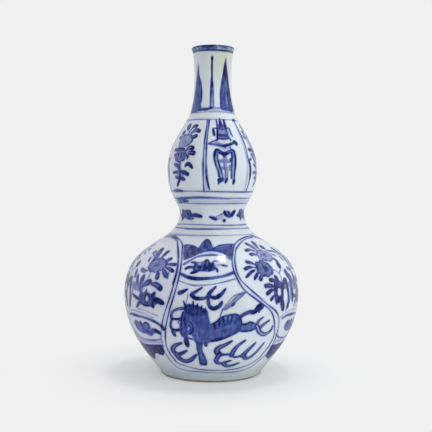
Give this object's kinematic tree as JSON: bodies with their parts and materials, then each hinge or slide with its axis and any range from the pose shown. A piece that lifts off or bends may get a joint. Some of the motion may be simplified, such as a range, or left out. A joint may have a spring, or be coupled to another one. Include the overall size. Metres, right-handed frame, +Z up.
{
  "type": "double gourd vase",
  "caption": "Double gourd vase in blue and white porcelain with a slender flared neck, thrown in sections luted with slip and glazed inside and out, standing on a turned foot ring.",
  "frame": {"origin": "on the floor at the centre of the foot rim", "axes": "+Z up along the vase's axis of turning; -Y is the side that the picture shows"},
  "size_m": [0.1614, 0.1614, 0.3],
  "materials": {
    "porcelain_body": "bare fired porcelain, warm buff where it shows at the foot rim",
    "luting_slip": "fired slip, hidden under the glaze",
    "painted_glaze": "glossy pale glaze over brushed cobalt decoration",
    "clear_glaze": "glossy pale glaze, undecorated"
  },
  "bodies": {
    "root": {"base_bowl": "porcelain_body", "shoulder_dome": "porcelain_body", "upper_bulb_lower_half": "porcelain_body", "upper_bulb_upper_half": "porcelain_body", "neck": "porcelain_body", "belly_slip_seam": "luting_slip", "waist_slip_seam": "luting_slip", "upper_bulb_slip_seam": "luting_slip", "neck_slip_seam": "luting_slip", "outer_glaze": "painted_glaze", "inner_glaze": "clear_glaze", "base_glaze": "clear_glaze"}
  },
  "joints": []
}
